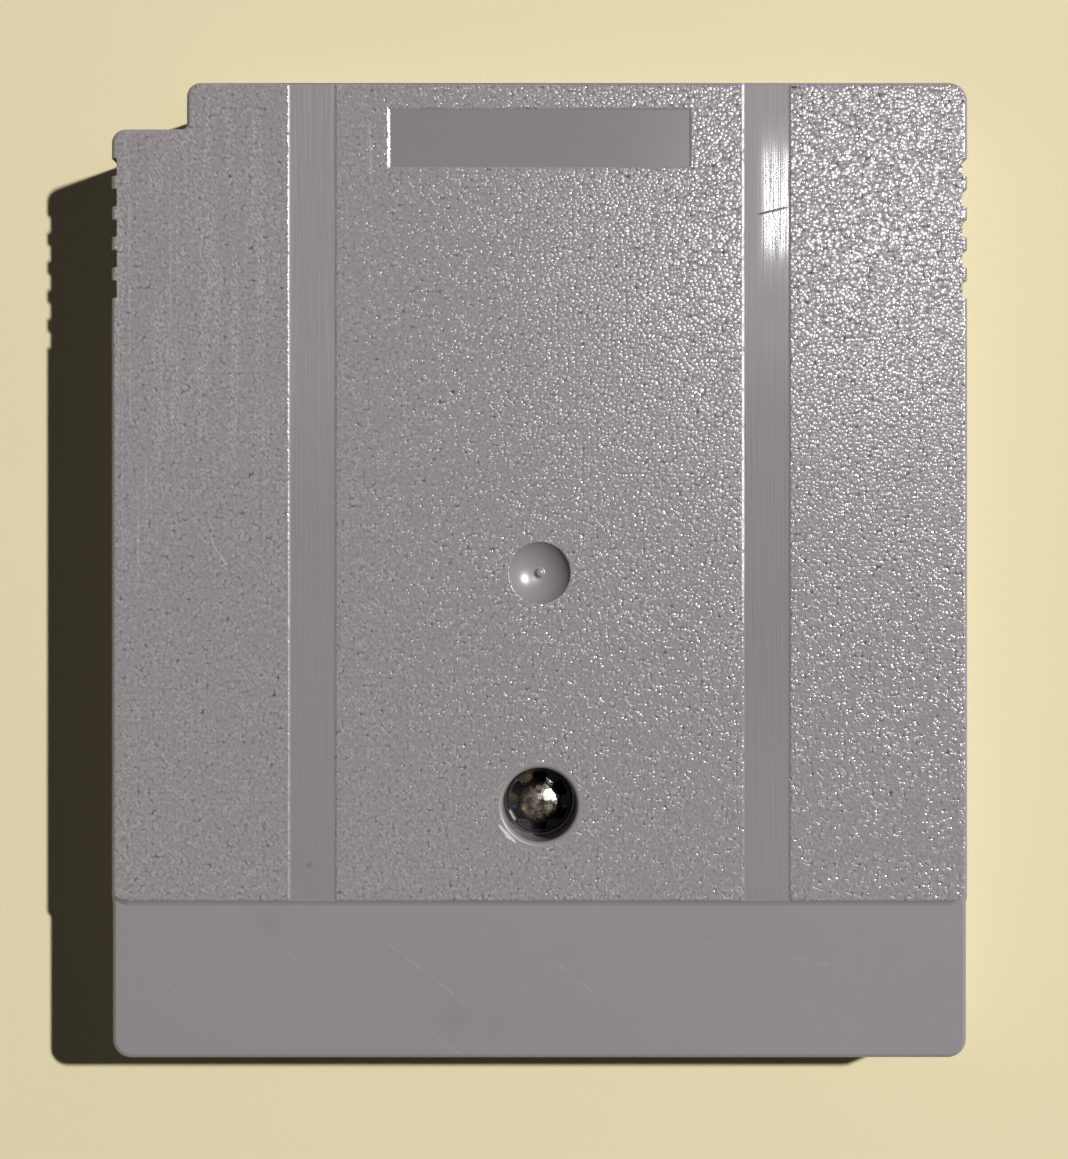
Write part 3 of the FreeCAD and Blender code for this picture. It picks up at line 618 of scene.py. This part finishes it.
def makeScrewSteel():
    material, tree, shader, point = newMaterial("blackenedSteel")
    fromAxis = vectorCalc(tree, "SUBTRACT", point, (screwCentre[0], screwCentre[1], 0.0))
    axes = addNode(tree, "SeparateXYZ")
    feed(tree, point, axes.inputs[0])
    reach = vectorCalc(tree, "LENGTH", flatten(tree, fromAxis))
    patchy = noise(tree, point, 2.2, 3.0, 0.6)
    uneven = calc(tree, "SUBTRACT", patchy, 0.5)
    ring = calc(tree, "ADD", reach, product(tree, uneven, 0.5))
    domeFoot = screwHigh[2] / mm - screw["domeDepth"]
    dome = product(tree, step(tree, ring, screw["wornRadius"] + 0.1, screw["wornRadius"] - 0.15),
                   step(tree, axes.outputs[2], domeFoot - 0.1, domeFoot + 0.1))
    rubbed = product(tree, dome, step(tree, patchy, 0.36, 0.60, 0.08, 1.0))
    # painted shade: the right side of the head black, the left side lighter
    litSideToShadedSide = calc(tree, "ADD", vectorCalc(tree, "DOT_PRODUCT", fromAxis, (1.0, 0.0, 0.0)), uneven)
    colour = blendColour(tree, step(tree, litSideToShadedSide, -0.9, 0.5), screw["dulled"], screw["black"])
    colour = blendColour(tree, rubbed, colour, screw["worn"])
    colour = blendColour(tree, drawnSpots(tree, fromAxis, screw["goldSpots"], patchy), colour, screw["gold"])
    # painted highlights on the flange and the dome
    colour = blendColour(tree, drawnLines(tree, fromAxis, screw["paintedHighlightMarks"]), colour, screw["paintedHighlightColour"])
    feed(tree, colour, shader.inputs["Base Color"])
    shader.inputs["Metallic"].default_value = 1.0
    feed(tree, step(tree, patchy, 0.3, 0.7, 0.18, 0.34), shader.inputs["Roughness"])
    dents = calc(tree, "ADD", noise(tree, point, 5.0, 3.0), product(tree, noise(tree, point, 1.7, 1.0), 2.0))
    bump(tree, dents, 0.025, shader)
    return material


screwPiece = copyNode("case_screw", "caseScrew")
roundEdges(screwPiece, screw["edgeRound"], screw["edgeSteps"], screw["sharpAngle"], screw["smoothAngle"])
dress(screwPiece, "case_screw", makeScrewSteel())


# board and what is on it: the CAD nodes stay, with their own finishes

def makePlainFinish(name, colour, second, scale, roughness, metallic=0.0, depth=0.01):
    material, tree, shader, point = newMaterial(name)
    patch = noise(tree, point, scale, 3.0, 0.6)
    feed(tree, blendColour(tree, step(tree, patch, 0.3, 0.7), colour, second), shader.inputs["Base Color"])
    feed(tree, step(tree, patch, 0.3, 0.7, roughness - 0.06, roughness + 0.06), shader.inputs["Roughness"])
    shader.inputs["Metallic"].default_value = metallic
    bump(tree, noise(tree, point, scale * 4, 2.0), depth, shader)
    return material


finishes = {
    "circuit_board": makePlainFinish("boardLaminate", (0.03, 0.16, 0.07), (0.02, 0.12, 0.05), 1.2, 0.4),
    "edge_contacts": makePlainFinish(
        "contactGold", (0.83, 0.58, 0.20), (0.72, 0.48, 0.15), 1.5, 0.25, 1.0, 0.002),
    "chip": makePlainFinish("chipMoulding", (0.022, 0.022, 0.024), (0.035, 0.035, 0.036), 3.0, 0.55),
    "leads": makePlainFinish("leadTin", (0.62, 0.62, 0.60), (0.50, 0.50, 0.49), 3.0, 0.32, 1.0, 0.003),
    "backup_cell": makePlainFinish(
        "cellSteel", (0.60, 0.60, 0.60), (0.50, 0.50, 0.49), 0.8, 0.24, 1.0, 0.004),
    "cell": makePlainFinish("stripNickel", (0.66, 0.62, 0.55), (0.56, 0.52, 0.45), 1.4, 0.28, 1.0, 0.004),
    "capacitor": makePlainFinish("capacitorCeramic", (0.42, 0.27, 0.15), (0.36, 0.22, 0.12), 2.0, 0.5),
    "resistor": makePlainFinish("resistorGlaze", (0.03, 0.03, 0.035), (0.05, 0.05, 0.055), 2.0, 0.3),
    "ends": makePlainFinish("endPlating", (0.64, 0.63, 0.60), (0.52, 0.51, 0.48), 2.5, 0.35, 1.0, 0.004),
}


def finishFor(nodeName):
    if nodeName in finishes:
        return finishes[nodeName]
    words = nodeName.split("_")
    for key in ("leads", "ends", "capacitor", "resistor", "cell"):
        if key in words:
            return finishes[key]
    return finishes["chip"]


for nodeName, node in nodes.items():
    if not node.hide_render:
        node.data.materials.clear()
        node.data.materials.append(finishFor(nodeName))
print("inner pieces finished")


# floor, light and camera

studio = {
    "floor": (0.74, 0.655, 0.42),
    "floorSize": 6.0,
    "worldLight": (0.04, 0.04, 0.041),
    "backdrop": (0.50, 0.48, 0.44),
    "keyTurn": 21.5,  # degrees from the X axis
    "keyRise": 49.0,
    "keyDistance": 1.5,
    "keySize": (0.06, 0.03),  # a short strip that lies level
    "keyShare": 0.96,  # of the light at which a colour renders as written
    "glintPoint": (21.5, 24.5),  # where the rear face mirrors the small lamp to the camera
    "glintHeight": 0.60,
    "glintSize": (0.04, 0.04),
    "glintShare": 0.15,  # in the gloss alone, so that the key lamp's shadow stays deep
}


def makeFloor():
    bpy.ops.object.select_all(action="DESELECT")
    bpy.ops.mesh.primitive_plane_add(size=studio["floorSize"], location=(0.0, 0.0, -0.00002))
    floor = bpy.context.active_object
    floor.name = "floor"
    material, tree, shader, point = newMaterial("floorPaint")
    shade = useGroup(tree, toneDrift, Point=point, Spread=0.03)["Shade"]
    feed(tree, blendColour(tree, 1.0, studio["floor"], shade, "MULTIPLY"), shader.inputs["Base Color"])
    shader.inputs["Roughness"].default_value = 1.0
    shader.inputs["Specular IOR Level"].default_value = 0.1
    floor.data.materials.append(material)


def makeWorld():
    world = bpy.data.worlds.new("studio")
    bpy.context.scene.world = world
    world.use_nodes = True
    tree = world.node_tree
    light = tree.nodes["Background"]
    light.inputs["Color"].default_value = (*studio["worldLight"], 1.0)
    seen = addNode(tree, "Background")
    seen.inputs["Color"].default_value = (*studio["backdrop"], 1.0)
    rays = addNode(tree, "LightPath").outputs
    direct = calc(tree, "MAXIMUM", rays["Is Camera Ray"], rays["Is Glossy Ray"])
    direct = calc(tree, "MAXIMUM", direct, rays["Is Transmission Ray"])
    mix = addNode(tree, "MixShader")
    feed(tree, direct, mix.inputs[0])
    feed(tree, light.outputs[0], mix.inputs[1])
    feed(tree, seen.outputs[0], mix.inputs[2])
    feed(tree, mix.outputs[0], tree.nodes["World Output"].inputs["Surface"])


def makeLamp(name, place, size, share):
    # the power gives the rear face the stated share of plain light
    place = Vector(place)
    lamp = bpy.data.lights.new(name, "AREA")
    lamp.shape = "ELLIPSE"
    lamp.size, lamp.size_y = size
    lamp.energy = share * math.pi ** 2 * place.length ** 3 / place.z
    holder = bpy.data.objects.new(name, lamp)
    bpy.context.scene.collection.objects.link(holder)
    holder.location = place
    holder.rotation_euler = (-place).to_track_quat("-Z", "Y").to_euler()
    return holder


camera = {
    "imageHeight": 1159.0,
    "pixelsPerMm": 15.045,
    "middle": (-0.367, -0.593),  # where the image's middle falls on the rear face
    "distance": 118.0,
    "sensor": 36.0,
}


def makeCamera():
    lens = bpy.data.cameras.new("camera")
    lens.sensor_fit = "AUTO"
    lens.sensor_width = camera["sensor"]
    lens.lens = camera["sensor"] * camera["distance"] * camera["pixelsPerMm"] / camera["imageHeight"]
    holder = bpy.data.objects.new("camera", lens)
    bpy.context.scene.collection.objects.link(holder)
    height = caseHigh[2] + camera["distance"]
    holder.location = (camera["middle"][0] * mm, camera["middle"][1] * mm, height * mm)
    lens.clip_start = 0.01
    bpy.context.scene.camera = holder


makeFloor()
makeWorld()
turn, rise = math.radians(studio["keyTurn"]), math.radians(studio["keyRise"])
keyDirection = Vector((math.cos(rise) * math.cos(turn), math.cos(rise) * math.sin(turn), math.sin(rise)))
makeLamp("keyLamp", keyDirection * studio["keyDistance"], studio["keySize"], studio["keyShare"])
mirrored = 1 + studio["glintHeight"] / mm / camera["distance"]
glintPlace = [value * mirrored * mm for value in studio["glintPoint"]] + [studio["glintHeight"]]
glintLamp = makeLamp("glintLamp", glintPlace, studio["glintSize"], studio["glintShare"])
glintLamp.visible_diffuse = False
makeCamera()
bpy.context.scene.view_settings.view_transform = "Standard"
print("stage: floor, lamps, camera")
